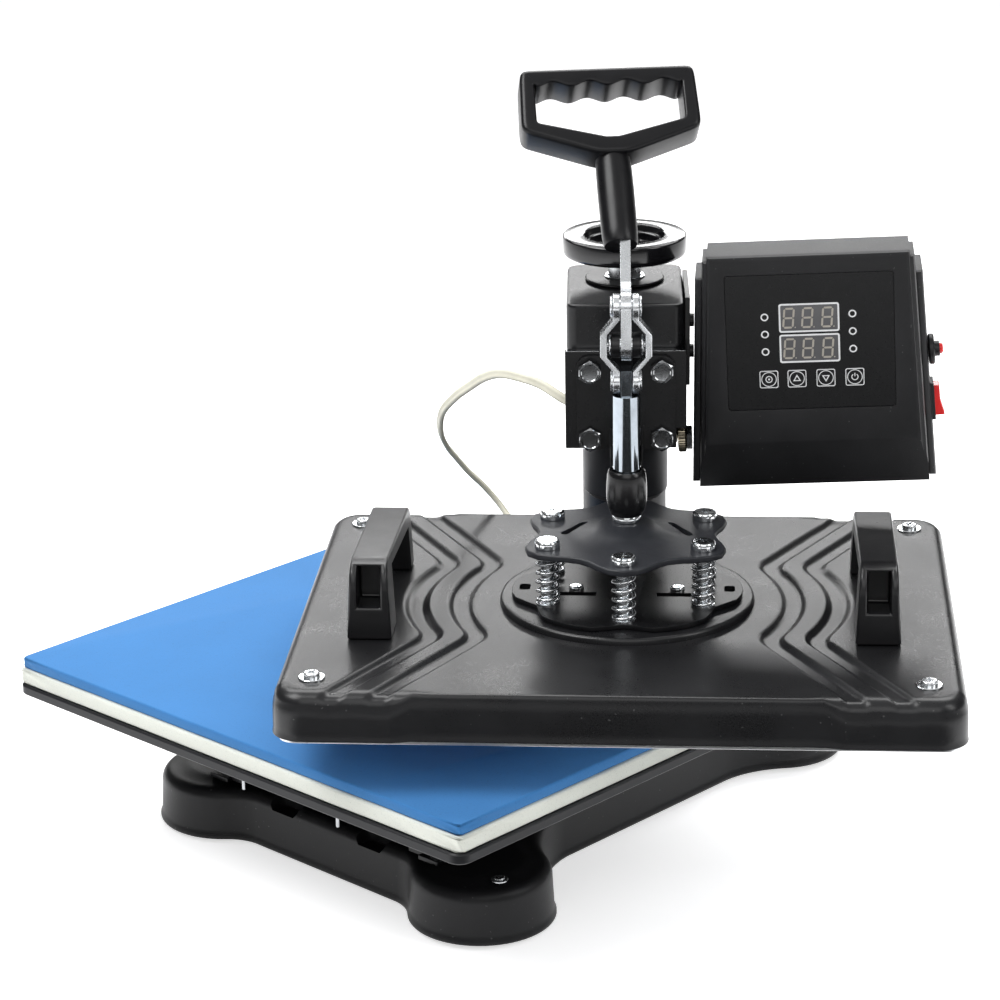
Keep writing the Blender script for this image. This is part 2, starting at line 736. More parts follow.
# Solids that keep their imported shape, with rounded edges: finish and edge in mm
SHELLS = {
    "platen_stand": ("satin", 0.6), "lower_platen": ("platen", 0.8), "swing_post": ("grey", 0.6),
    "swing_arm": ("cast", 1.5), "guide_column": ("grey", 0.5), "head_block": ("block", 1.0),
    "top_washer": ("block", 0.3), "packing_plate": ("chipped", 0.5), "toggle_bracket": ("chipped", 0.5),
    "box_bracket": ("chipped", 0.4), "box_front_shell": ("housing", 1.2), "box_rear_shell": ("housing", 1.2),
    "control_panel": ("panel", 0.2), "pressure_screw": ("zinc", 0.3), "lever_bar": ("zinc", 1.2),
    "toggle_link_left": ("zinc", 0.5), "toggle_link_right": ("zinc", 0.5), "link_pin": ("zinc", 0.4),
    "pivot_pin": ("zinc", 0.4), "ram_rod": ("chrome", 0.4), "spider": ("spider", 0.6),
    "heating_plate": ("aluminium", 0.4), "float_plate": ("satin", 0.5), "side_handle_left": ("handle", 1.5),
    "side_handle_right": ("handle", 1.5), "rocker_switch": ("red", 0.5), "breaker_body": ("plastic", 0.4),
    "breaker_button": ("red", 0.5), "power_inlet": ("plastic", 0.5), "post_cap": ("satin", 0.6),
    "insulation_board": ("board", 0.5), "foot_front_left": ("rubber", 0.5), "foot_front_right": ("rubber", 0.5),
    "foot_rear_left": ("rubber", 0.5), "foot_rear_right": ("rubber", 0.5),
}


class HEATPRESS_OT_shells(bpy.types.Operator):
    """Rigid solids with rounded edges, each with its own finish"""

    bl_idname = "heatpress.shells"
    bl_label = "Shells"

    def execute(self, context):
        for node, (finish, edge) in SHELLS.items():
            refined(node, finish, edge * MM)
        return {"FINISHED"}


class HEATPRESS_OT_pads(bpy.types.Operator):
    """Blue silicone foam pad on its pale felt sheet, with soft uneven edges"""

    bl_idname = "heatpress.pads"
    bl_label = "Pads"

    def execute(self, context):
        for node, finish, corner, edge, wobble in (
            ("blue_pad", "blue", 3.0, 1.3, 0.25), ("white_sheet", "white", 4.0, 1.6, 0.4),
        ):
            low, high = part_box(node)
            size = (high - low) / MM
            centre = (low + high) / 2 / MM
            rings = []
            for inward, z in self.side_profile(size.z, edge):
                loop = round_rect(size.x - inward * 2, size.y - inward * 2, corner, 6)
                rings.append([(x, y, low.z / MM + z) for x, y in self.dense(loop)])
            points = []
            for x, y, z in (point for ring in rings for point in ring):
                dent = min(0.0, noise.noise((x * 0.02, y * 0.02, z * 0.05)) - 0.2) * wobble
                scale = 1 + dent / max(abs(x), abs(y))
                points.append(((x * scale + centre.x) * MM, (y * scale + centre.y) * MM, z * MM))
            mesh = mesh_of(f"{node}_foam", points, ring_faces(len(rings), len(rings[0])))
            to_object(f"{node}_foam", mesh, finish, "base", (node,), 60)
        return {"FINISHED"}

    def side_profile(self, height, edge):
        """Inset and height of each ring from the lower to the upper face"""
        lower = [(edge * (1 - math.sin(a)), edge * (1 - math.cos(a))) for a in (0, 0.5, 1.0, math.pi / 2)]
        return lower + [(inward, height - z) for inward, z in reversed(lower)]

    def dense(self, loop):
        """The loop with its long sides divided"""
        longest = 8
        result = []
        for (ax, ay), (bx, by) in zip(loop, loop[1:] + loop[:1]):
            steps = max(1, round(math.hypot(bx - ax, by - ay) / longest))
            result.extend((ax + (bx - ax) * k / steps, ay + (by - ay) * k / steps) for k in range(steps))
        return result


def shoulder_spots():
    """Places of the six shoulder screws in the platen's frame, in mm"""
    angles = [math.radians(60 * i - 90) for i in range(6)]
    return [(52.5 * math.cos(a), 52.5 * math.sin(a)) for a in angles]


class HEATPRESS_OT_springs(bpy.types.Operator):
    """Round-wire compression springs with ground ends"""

    bl_idname = "heatpress.springs"
    bl_label = "Springs"

    def execute(self, context):
        sizes = context.scene.press_sizes
        coil_radius, flat_end, steps = 6.1 * MM, 0.08, 28
        outline = circle(1.0, 10)
        for number, (x, y) in enumerate(shoulder_spots(), 1):
            low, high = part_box(f"spring_{number}")
            rise = (high.z - low.z) - sizes.wire * 2
            centre = PLATEN @ Vector((x * MM, y * MM, 0))
            path = []
            for i in range(sizes.coils * steps + 1):
                share = i / (sizes.coils * steps)
                lift = min(1.0, max(0.0, (share - flat_end) / (1 - flat_end * 2)))
                angle = 2 * math.pi * sizes.coils * share + number
                path.append(Vector((
                    centre.x + coil_radius * math.cos(angle), centre.y + coil_radius * math.sin(angle),
                    low.z + sizes.wire + rise * lift,
                )))
            name = f"spring_wire_{number}"
            mesh = mesh_of(name, tube_points(path, sizes.wire, outline), ring_faces(len(path), len(outline)))
            piece = to_object(name, mesh, "spring", "ram", (f"spring_{number}",))
            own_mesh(piece)
        return {"FINISHED"}


def pan_head(radius, height, sides=28):
    """Low domed head that stands on z = 0, in mm"""
    profile = [(radius, 0), (radius, height * 0.5)]
    for k in range(1, 6):
        angle = math.pi / 2 * k / 5
        profile.append((radius * (0.8 + 0.2 * math.cos(angle)), height * (0.5 + 0.5 * math.sin(angle))))
    return lathe(profile, sides)


def screw_mesh(name, place, radius, height, width, cross, depth=0.7, slotted=False):
    """A screw head with a cross cut into it, and a slot from side to side where it is slotted"""
    head = merged(name, [(*pan_head(radius, height, 40), place)])
    recess = place @ shift(0, 0, height * (1 - depth))
    cutters = [block(radius * cross, width * 1.1, height), block(width * 1.1, radius * cross, height)]
    if slotted:
        cutters.insert(0, block(radius * 2.4, width, height))
    return carved(head, *(merged("cutter", [(*cutter, recess)]) for cutter in cutters))


class HEATPRESS_OT_screws(bpy.types.Operator):
    """Shoulder screws, cover screws with washers and the float plate's small screws"""

    bl_idname = "heatpress.screws"
    bl_label = "Screws"

    def execute(self, context):
        washer = context.scene.press_sizes.washer / MM
        head_foot = SPIDER_TOP + 0.3
        for number, (x, y) in enumerate(shoulder_spots(), 1):
            node = f"shoulder_screw_{number}"
            foot, top = level(node, top=False) / MM, level(node) / MM
            name = f"shoulder_screw_head_{number}"
            place = spot(PLATEN, x, y, head_foot, 25 + number * 57)
            head = screw_mesh(name, place, 7.3, top - head_foot, 1.3, 1.1, 0.55, slotted=True)
            to_object(name, head, "bright", "platen", sharp=14)
            shank = lathe([(3.6, 0), (4.0, 0.4), (4.0, 5.5), (4.0, head_foot - foot - 0.05)], 32)
            stem = [(*shank, spot(PLATEN, x, y, foot))]
            solid(f"shoulder_screw_shank_{number}", stem, "bright", "platen", (node,))
            seat = lathe([(4.05, 0.05), (6.9, 0.05), (6.9, 0.75), (6.5, 0.95), (4.05, 0.95)], 36, looped=True)
            ring = [(*seat, spot(PLATEN, x, y, FLOAT_TOP - 0.05))]
            solid(f"spring_seat_{number}", ring, "zinc", "platen")
        for number, (x, y) in enumerate([(172.1, 129.6), (-172.1, 129.6), (-172.1, -129.6), (172.1, -129.6)], 1):
            disc = lathe([(2.4, 0), (washer, 0), (washer, 0.7), (washer - 0.4, 1.0), (2.4, 1.0)], 40, looped=True)
            ring = [(*disc, spot(PLATEN, x, y, COVER_TOP - 0.02))]
            solid(f"cover_washer_{number}", ring, "bright", "platen")
            place = spot(PLATEN, x, y, COVER_TOP + 0.95, 20 + number * 40)
            head = screw_mesh(f"cover_screw_{number}", place, 4.7, 2.6, 1.2, 1.15)
            to_object(f"cover_screw_{number}", head, "zinc", "platen", sharp=14)
        for number, x in enumerate((-30, 30), 1):
            place = spot(PLATEN, x, -2.8, FLOAT_TOP - 0.02, 20 * number)
            head = screw_mesh(f"float_plate_screw_{number}", place, 4.3, 2.4, 1.3, 1.2)
            to_object(f"float_plate_screw_{number}", head, "bright", "platen", sharp=14)
        return {"FINISHED"}


class HEATPRESS_OT_bolts(bpy.types.Operator):
    """Hexagon bolts of the toggle bracket, with turned chamfers and dished heads"""

    bl_idname = "heatpress.bolts"
    bl_label = "Hexagon bolts"

    half_across = 6.5
    height = 5.3

    def execute(self, context):
        head = self.hexagon()
        for node in (f"hex_bolt_{row}_{side}" for row in ("upper", "lower") for side in ("left", "right")):
            centre = HEAD.inverted() @ middle(node)
            foot = HEAD @ Vector((centre.x, centre.y + self.height / 2 * MM, centre.z))
            place = Matrix.Translation(foot) @ HEAD_TURN @ turn(90, "X")
            solid(f"{node}_head", [(*head, place)], "dark_steel", "carriage", (node,), 24)
        return {"FINISHED"}

    def hexagon(self):
        """Hexagonal prism met by a turned cone, dished in the middle"""
        steps, chamfer_radius, chamfer_slope = 60, 6.15, 0.62
        angles = [2 * math.pi * k / steps for k in range(steps)]
        walls = [self.half_across / math.cos((a - math.pi / 6) % (math.pi / 3) - math.pi / 6) for a in angles]
        rings = [[(wall, z) for wall in walls] for z in (0.0, self.height - 1.35)]
        rings.append([(wall, self.height - 0.05 - (wall - chamfer_radius) * chamfer_slope) for wall in walls])
        for radius, down in ((chamfer_radius, 0.02), (5.2, 0.02), (4.7, 0.45), (2.4, 0.5)):
            rings.append([(radius, self.height - down)] * steps)
        points = [
            (radius * math.cos(a) * MM, radius * math.sin(a) * MM, z * MM)
            for ring in rings for (radius, z), a in zip(ring, angles)
        ]
        return points, ring_faces(len(rings), steps)


class HEATPRESS_OT_wheel(bpy.types.Operator):
    """Enamelled hand wheel with a rolled rim and a stepped dish"""

    bl_idname = "heatpress.wheel"
    bl_label = "Hand wheel"

    def execute(self, context):
        centre, foot = middle("hand_wheel"), level("hand_wheel", top=False)
        top = (level("hand_wheel") - foot) / MM
        profile = [(14.5, 0), (14.5, 2.3), (33.5, 2.5), (35.4, 2.7), (36.7, 3.4), (37.3, 4.6), (37.4, 6)]
        profile += [(37.4, top - 1.1), (37.2, top - 0.5), (36.7, top - 0.1), (36.2, top), (25.2, top)]
        profile += [(24.5, top - 0.15), (24.1, top - 0.6), (23.9, top - 3.4), (23.6, top - 4.0)]
        profile += [(22.2, top - 4.2), (21.7, top - 4.7), (21.5, 6.2), (20.9, 5.6), (12.0, 5.5), (11.6, 5.9)]
        profile += [(11.4, 7.6), (10.8, 8.1), (3.0, 8.2)]
        dish = [(*lathe(profile, 96), Matrix.Translation((centre.x, centre.y, foot)))]
        solid("hand_wheel_dish", dish, "gloss", "wheel", ("hand_wheel",), 40)
        return {"FINISHED"}


# Bars of a seven-segment figure: place across and up in half widths and heights, and turn
SEGMENTS = ((0, 1, 0), (1, 0.5, 90), (1, -0.5, 90), (0, -1, 0), (-1, -0.5, 90), (-1, 0.5, 90), (0, 0, 0))


class HEATPRESS_OT_panel_marks(bpy.types.Operator):
    """Displays, lamp rings and keys printed on the control panel"""

    bl_idname = "heatpress.panel_marks"
    bl_label = "Panel marks"

    # How far the marks reach into the panel, in mm
    sunk = -0.05

    def execute(self, context):
        ink = context.scene.press_sizes.ink / MM
        face = BOX @ shift(0, -18.9, 0) @ turn(90, "X")
        display_x = -0.4
        marks, windows, figures, wells = [], [], [], []
        for z, height in ((105.25, 17.4), (86.7, 17.2)):
            place = spot(face, display_x, z, 0)
            window = round_rect(33.2, height - 2.0, 0.7)
            marks.append((*hollow_prism(round_rect(35.2, height, 1.4), window, self.sunk, ink * 2), place))
            windows.append((*prism(window, self.sunk, ink * 0.5), place))
            for x in (-11.9, -1.0, 10.6):
                figures.extend(self.figure(spot(face, display_x + x, z, 0), ink))
        for x, heights in ((-26.3, (106.2, 95.8, 85.2)), (24.8, (106.8, 96.2, 85.5))):
            for z in heights:
                marks.append(self.ring(spot(face, x, z, 0), 2.3, 1.5, 36, ink))
                wells.append((*prism(circle(1.5, 36), self.sunk, ink * 0.5), spot(face, x, z, 0)))
        for x, mark in ((-24.8, "ring"), (-8.4, "up"), (8.5, "down"), (25.4, "power")):
            marks.extend(self.key(spot(face, x, 68.3, 0), mark, ink))
        for name, parts, finish, slot in (
            ("panel_print", marks, "ink", "plastic"), ("display_windows", windows, "lens", "gloss_plastic"),
            ("display_figures", figures, "segment", "plastic"), ("lamp_wells", wells, "dark", "plastic"),
        ):
            solid(name, parts, finish, "carriage")
        return {"FINISHED"}

    def ring(self, place, outer, inner, sides, ink):
        return (*hollow_prism(circle(outer, sides), circle(inner, sides), self.sunk, ink), place)

    def figure(self, place, ink):
        """An unlit figure eight of bars that leans to the right, with its point"""
        half_width, half_height, bar_half = 2.75, 2.85, 0.58
        lean = Matrix.Identity(4)
        lean[0][1] = math.tan(math.radians(5))
        parts = []
        for across, up, degrees in SEGMENTS:
            reach = (half_width if degrees == 0 else half_height) - 0.25
            outline = [
                (-reach, 0), (bar_half - reach, bar_half), (reach - bar_half, bar_half),
                (reach, 0), (reach - bar_half, -bar_half), (bar_half - reach, -bar_half),
            ]
            centre = place @ lean @ shift(across * half_width, up * half_height * 2, 0)
            parts.append((*prism(outline, ink * 0.5, ink * 0.9), centre @ turn(degrees)))
        point = place @ lean @ shift(half_width + 1.5, -half_height * 2, 0)
        parts.append((*prism(circle(0.42, 10), ink * 0.5, ink * 0.9), point))
        return parts

    def key(self, place, mark, ink):
        """A square key's outline with a round one inside, and its plain mark"""
        frame_band = hollow_prism(round_rect(11.0, 10.6, 1.2), round_rect(10.0, 9.6, 0.8), self.sunk, ink)
        parts = [(*frame_band, place), self.ring(place, 4.5, 4.05, 40, ink)]
        if mark in ("up", "down"):
            side = 1 if mark == "up" else -1
            outer = [(0, 2.5 * side), (2.3, -1.5 * side), (-2.3, -1.5 * side)]
            inner = [(0, 1.35 * side), (1.3, -0.95 * side), (-1.3, -0.95 * side)]
            parts.append((*hollow_prism(outer, inner, self.sunk, ink), place))
        elif mark == "ring":
            parts.append(self.ring(place, 2.1, 1.55, 24, ink))
            parts.append((*prism(circle(0.6, 16), self.sunk, ink), place))
        else:
            start, stop = math.radians(125), math.radians(415)
            arc = [start + (stop - start) * k / 18 for k in range(19)]
            outline = [(2.1 * math.cos(a), 2.1 * math.sin(a)) for a in arc]
            outline += [(1.55 * math.cos(a), 1.55 * math.sin(a)) for a in reversed(arc)]
            parts.append((*prism(outline, self.sunk, ink), place))
            parts.append((*prism([(-0.27, 0.3), (0.27, 0.3), (0.27, 2.4), (-0.27, 2.4)], self.sunk, ink), place))
        return parts


class HEATPRESS_OT_connector(bpy.types.Operator):
    """Signal connector: knurled brass ring on a dark nut"""

    bl_idname = "heatpress.connector"
    bl_label = "Signal connector"

    def execute(self, context):
        centre = BOX.inverted() @ middle("signal_connector")
        place = BOX @ Matrix.Translation(centre) @ turn(-90, "Y") @ shift(0, 0, -4.25)
        teeth, tooth_height, knurled_from = 36, 0.28, 8
        loops = []
        for radius, z in ((7.6, 3.6), (8.3, 4.1), (8.3, 7.9), (7.7, 8.4), (6.6, 8.45), (6.3, 8.1), (4.0, 8.0)):
            loop = []
            for k in range(teeth * 2):
                reach = radius + (tooth_height if k % 2 and radius > knurled_from else 0)
                loop.append((reach * math.cos(math.pi * k / teeth), reach * math.sin(math.pi * k / teeth)))
            loops.append((loop, z))
        knurled = [(*stacked(loops), place)]
        solid("connector_ring", knurled, "brass", "carriage", ("signal_connector",), 20)
        nut = [(*lathe([(7.4, 0.1), (7.4, 3.0), (6.9, 3.6)], 6), place)]
        solid("connector_nut", nut, "dark_steel", "carriage", sharp=20)
        return {"FINISHED"}


class HEATPRESS_OT_grip(bpy.types.Operator):
    """Moulded D-shaped grip with finger hollows, on its round stem"""

    bl_idname = "heatpress.grip"
    bl_label = "Grip"

    # Points on the top, the left wall, the lower left bar, the foot, the lower right bar and the right wall
    side_counts = (96, 26, 40, 14, 40, 26)

    def execute(self, context):
        lever = Matrix.Translation(PIVOT) @ HEAD_TURN @ turn(LEVER_LEAN, "X")
        stem_foot = 56
        place = lever @ shift(-2, 0, stem_foot) @ turn(-4.4, "Y") @ turn(5.1) @ shift(0, 0, -stem_foot)
        outer = self.outline([(52.2, 175.8), (-52.2, 175.8), (-53.7, 135), (-9, 119), (9, 119), (53.7, 135)], 14)
        inner = self.outline(
            [(44.1, 167.3), (-44.1, 167.3), (-44.1, 140.5), (-4, 130), (4, 130), (44.1, 140.5)], 3, 3.4
        )
        depth, rounding, inner_rounding = 12, 3.2, 1.6
        angles = [math.pi / 2 * k / 5 for k in range(6)]
        rings = [(inset(outer, rounding * (1 - math.sin(a))), -depth + rounding * (1 - math.cos(a))) for a in angles]
        rings += [(loop, -y) for loop, y in reversed(rings)]
        edge = [
            (inset(inner, -inner_rounding * (1 - math.sin(a))), depth - inner_rounding * (1 - math.cos(a)))
            for a in angles
        ]
        rings += edge + [(loop, -y) for loop, y in reversed(edge)]
        points = [(point.x * MM, y * MM, point.y * MM) for loop, y in rings for point in loop]
        stem = lathe([
            (8.2, 63), (9.6, 63.4), (10.3, 65), (10.6, 71), (10.8, 80),
            (10.9, 100), (10.7, 115), (9.9, 123), (8.5, 127), (5.0, 129),
        ], 40)
        parts = [(points, ring_faces(len(rings), len(outer), looped=True), place), (*stem, place)]
        solid("grip_moulding", parts, "grip", "lever", ("lever_grip",), 50)
        return {"FINISHED"}

    def outline(self, corners, passes, wave=0.0):
        """Loop through the corners, with finger hollows in its top and its corners smoothed"""
        loop = []
        for i, count in enumerate(self.side_counts):
            start, end = Vector(corners[i]), Vector(corners[(i + 1) % len(corners)])
            for k in range(count):
                point = start.lerp(end, k / count)
                if wave and i == 0:
                    point.y -= wave * (0.5 + 0.5 * math.cos(8 * math.pi * k / count))
                loop.append(point)
        for _ in range(passes):
            loop = [loop[k] * 0.5 + (loop[k - 1] + loop[(k + 1) % len(loop)]) * 0.25 for k in range(len(loop))]
        return loop


def smooth(value):
    """0 up to 0, 1 from 1 on, smooth between"""
    value = min(1.0, max(0.0, value))
    return value * value * (3 - 2 * value)


def rolled(distance, radius):
    """Drop of a rolled edge at a distance from the wall"""
    return radius - math.sqrt(max(0.0, radius ** 2 - max(0.0, radius - distance) ** 2))


class HEATPRESS_OT_cover(bpy.types.Operator):
    """Pressed cover of the heating platen: soft corner blocks, rolled edges and wavy grooves"""

    bl_idname = "heatpress.cover"
    bl_label = "Platen cover"

    half_width = 194.0
    half_depth = 156.0
    corner = 18.0
    edge_steps = (0.0, 0.3, 0.9, 1.8, 3.0, 4.6, 6.6, 9.0)
    # Down the wall and under its foot: share of its height, and how far it stands out in flares
    flare = 1.2
    wall = ((0.06, 0.5), (0.3, 0.9), (0.75, 1.0), (0.9, 1.0), (0.96, 1.35), (1.0, 1.35), (1.0, -1.9), (0.2, -2.6))

    def execute(self, context):
        bottom, top = level("platen_cover", top=False) / MM, COVER_TOP
        columns, rows = self.columns(), self.rows()
        points = [self.surface_point(self.column_x(offset, y), y, top) for y in rows for offset in columns]
        wide, deep = len(columns), len(rows)
        faces = [
            (j * wide + i, j * wide + i + 1, (j + 1) * wide + i + 1, (j + 1) * wide + i)
            for j in range(deep - 1) for i in range(wide - 1)
        ]
        rim = list(range(wide)) + [j * wide + wide - 1 for j in range(1, deep)]
        rim += [(deep - 1) * wide + i for i in range(wide - 2, -1, -1)] + [j * wide for j in range(deep - 2, 0, -1)]
        last = rim
        edge = [points[i] for i in rim]
        for share, steps_out in self.wall:
            start = len(points)
            for x, y, z in edge:
                reach = Vector((x, y)).normalized()
                outward = Vector((reach.x * self.flare, reach.y * self.flare)) * steps_out
                points.append((x + outward.x, y + outward.y, z + (bottom - z) * share))
            now = list(range(start, len(points)))
            faces.extend((last[k], last[(k + 1) % len(now)], now[(k + 1) % len(now)], now[k]) for k in range(len(now)))
            last = now
        faces.append(tuple(last))
        body = ([(x * MM, y * MM, z * MM) for x, y, z in points], faces, PLATEN)
        boss = lathe([
            (75.9, top - 1.5), (75.6, top + 0.4), (75.2, top + 2.4), (74.7, top + 3.4),
            (73.8, top + 3.9), (72.8, top + 4.0), (3, top + 4.0),
        ], 128)
        parts = [body, (*boss, PLATEN)]
        solid("pressed_cover", parts, "cover", "platen", ("platen_cover",), 40)
        return {"FINISHED"}

    def centre_line(self, y):
        """Half distance of the outer grooves from the middle, softened where it bends"""
        total = 0.0
        for along in (-8, -4, 0, 4, 8):
            away = abs(y + along)
            total += 126 - 16 * (away / 61) ** 2 if away <= 61 else 110 + 51 * (away - 61) / 95
        return total / 5

    def columns(self):
        """Signed offsets: whole numbers name bands between the middle, the grooves and the side"""
        half = [i / 12 for i in range(13)] + [1 + i / 44 for i in range(1, 45)]
        half += [2 + i / 7 for i in range(1, 8)] + [3 + i / 7 for i in range(1, 8)]
        return [-value for value in reversed(half[1:])] + half

    def column_x(self, offset, y):
        side = 1 if offset >= 0 else -1
        offset = abs(offset)
        line = self.centre_line(y)
        start, end = line - 36.0, line + 9.5
        last_edge = self.half_width - self.edge_steps[-1]
        if offset <= 1:
            return side * start * offset
        if offset <= 2:
            return side * (start + (end - start) * (offset - 1))
        if offset <= 3:
            return side * (end + (last_edge - end) * (offset - 2))
        return side * (self.half_width - self.edge_steps[7 - round((offset - 3) * 7)])

    def rows(self):
        reach, count = self.half_depth - self.edge_steps[-1], 126
        inner = [reach * (2 * i / count - 1) for i in range(count + 1)]
        edge = [self.half_depth - step for step in self.edge_steps[:-1]]
        return [-y for y in edge] + inner + list(reversed(edge))

    def surface_point(self, x, y, top):
        """A point of the upper face: grooves, corner blocks, rolled edges and round corners"""
        away, ahead = abs(x), abs(y)
        line = self.centre_line(y)
        groove_half, groove_wall, groove_pitch, groove_depth = 7.4 / 0.9, 4.8, 26.5, 2.6
        lower = max(smooth((groove_half - abs(away - centre)) / groove_wall) for centre in (line, line - groove_pitch))
        block_share = smooth((away - 117) / 9)
        from_front = self.half_depth - ahead
        drop = max(rolled(self.half_width - away, 7.5), rolled(from_front, 2.2 + 6.5 * block_share))
        cx, cy = self.half_width - self.corner, self.half_depth - self.corner
        px, py = away, ahead
        if away > cx and ahead > cy:
            a, b = (away - cx) / self.corner, (ahead - cy) / self.corner
            reach = max(a, b)
            angle = math.pi / 4 * (b / a) if a >= b else math.pi / 2 - math.pi / 4 * (a / b)
            px, py = cx + self.corner * reach * math.cos(angle), cy + self.corner * reach * math.sin(angle)
            drop = rolled((1 - reach) * self.corner, 8.5)
        py -= 2.4 * (1 - block_share) * smooth((ahead - 120) / 30)
        inside = 1 - 1.3 / self.half_width
        lower *= 0.3 + 0.7 * smooth((from_front - 0.5) / 11)
        return math.copysign(px, x) * inside, math.copysign(py, y) * inside, top - groove_depth * lower - drop


def softened(corners, radius):
    """The loop with each corner cut by a curve that starts the radius away from it"""
    steps = 5
    loop = []
    for i, corner in enumerate(corners):
        corner = Vector(corner)
        before, after = Vector(corners[i - 1]), Vector(corners[(i + 1) % len(corners)])
        start = corner + (before - corner).normalized() * min(radius, (before - corner).length * 0.45)
        end = corner + (after - corner).normalized() * min(radius, (after - corner).length * 0.45)
        for k in range(steps + 1):
            t = k / steps
            loop.append(start * (1 - t) ** 2 + corner * (2 * t * (1 - t)) + end * t ** 2)
    return loop


def towards(a, b):
    return math.atan2(b[1] - a[1], b[0] - a[0])


class HEATPRESS_OT_base(bpy.types.Operator):
    """Cast base: four lobes, drawn-in walls, rolled shoulders and notches in its ends"""

    bl_idname = "heatpress.base"
    bl_label = "Base casting"

    # The lobes' radius, and how far the end walls lie inside the lobes' reach
    lobe, end_step = 44.5, 20.5
    front, rear = (111.0, -52.3), (80.0, 262.0)

    def execute(self, context):
        low, high = level("base_casting", top=False) / MM, level("base_casting") / MM
        shoulder, roll_radius = 2.2, 7.5
        rings = [(5.0, low), (0.4, low), (0.0, low + 0.6), (0.0, low + 2.0), (0.8, low + 3.4), (1.3, low + 6)]
        rings += [(1.8, low + 16), (shoulder, low + 24)]
        for k in range(9):
            angle = math.pi / 2 * k / 8
            rings.append((shoulder + roll_radius * (1 - math.cos(angle)), low + 25.5 + roll_radius * math.sin(angle)))
        rings += [(11.5, low + 33.3), (14.0, low + 33.9), (16.5, high - 0.9), (18.5, high - 0.3)]
        rings += [(20.0, high - 0.05), (21.5, high)]
        body = merged("base_blank", [(*stacked([(self.outline(inward), z) for inward, z in rings]), BASE)])
        wall = self.front[1] - self.lobe + self.end_step
        cutters = []
        for x in (-38, 38):
            notch = softened([(x - 14, wall - 18), (x + 14, wall - 18), (x + 11, wall + 16), (x - 11, wall + 16)], 7)
            loops = [(inset(notch, 3.0), high - 9), (inset(notch, 0.8), high - 6.5), (inset(notch, -3), high + 4)]
            cutters.append(merged("cutter", [(*stacked(loops), BASE)]))
        mesh = carved(body, *cutters)
        to_object("base_moulding", mesh, "cast", "base", ("base_casting",), 34)
        return {"FINISHED"}

    def outline(self, inward):
        """Lobes of one radius joined by hollow fillets and straight walls, in the base's frame"""
        waist, side_fillet, end_fillet = 96.6, 65.0, 29.0
        lobe, front, rear = self.lobe, self.front, self.rear
        side_x = waist + side_fillet
        reach = side_fillet + lobe
        front_side = (side_x, front[1] + math.sqrt(reach ** 2 - (side_x - front[0]) ** 2))
        rear_side = (side_x, rear[1] - math.sqrt(reach ** 2 - (side_x - rear[0]) ** 2))
        end_reach = end_fillet + lobe
        front_y, rear_y = front[1] - lobe + self.end_step - end_fillet, rear[1] + lobe - self.end_step + end_fillet
        front_end = (front[0] - math.sqrt(end_reach ** 2 - (front_y - front[1]) ** 2), front_y)
        rear_end = (rear[0] - math.sqrt(end_reach ** 2 - (rear_y - rear[1]) ** 2), rear_y)
        arcs = (
            (front_end, end_fillet + inward, math.pi / 2, towards(front_end, front), True),
            (front, lobe - inward, towards(front, front_end), towards(front, front_side), False),
            (front_side, side_fillet + inward, towards(front_side, front), math.pi, True),
            (rear_side, side_fillet + inward, math.pi, towards(rear_side, rear), True),
            (rear, lobe - inward, towards(rear, rear_side), towards(rear, rear_end), False),
            (rear_end, end_fillet + inward, towards(rear_end, rear), -math.pi / 2, True),
        )
        right = []
        for centre, radius, start, stop, hollow in arcs:
            while hollow and stop > start:
                stop -= 2 * math.pi
            while not hollow and stop < start:
                stop += 2 * math.pi
            steps = 10 if hollow else 36
            for k in range(steps):
                angle = start + (stop - start) * (k + hollow) / (steps - 1 + 2 * hollow)
                right.append((centre[0] + radius * math.cos(angle), centre[1] + radius * math.sin(angle)))
        return right + [(-x, y) for x, y in reversed(right)]


class HEATPRESS_OT_coupling(bpy.types.Operator):
    """Black barrel on the ram, with its bright clamp ring"""

    bl_idname = "heatpress.coupling"
    bl_label = "Ram coupling"

    def execute(self, context):
        place = Matrix.Translation((PIVOT.x, PIVOT.y, level("ram_coupling", top=False)))
        barrel = lathe([
            (8.4, 3.5), (9.4, 4.2), (10.9, 8.0), (11.8, 12.5), (12.0, 17), (11.9, 23),
            (11.4, 28), (10.9, 30.4), (10.2, 31.4), (9.0, 31.5), (8.6, 30.6),
        ], 64)
        solid("coupling_barrel", [(*barrel, place)], "barrel", "ram", ("ram_coupling",), 50)
        ring = lathe([(6, 0.1), (8.3, 0.1), (8.5, 1.0), (8.5, 2.6), (8.1, 3.5), (6, 3.5)], 48, looped=True)
        solid("clamp_ring", [(*ring, place)], "bright", "ram")
        return {"FINISHED"}


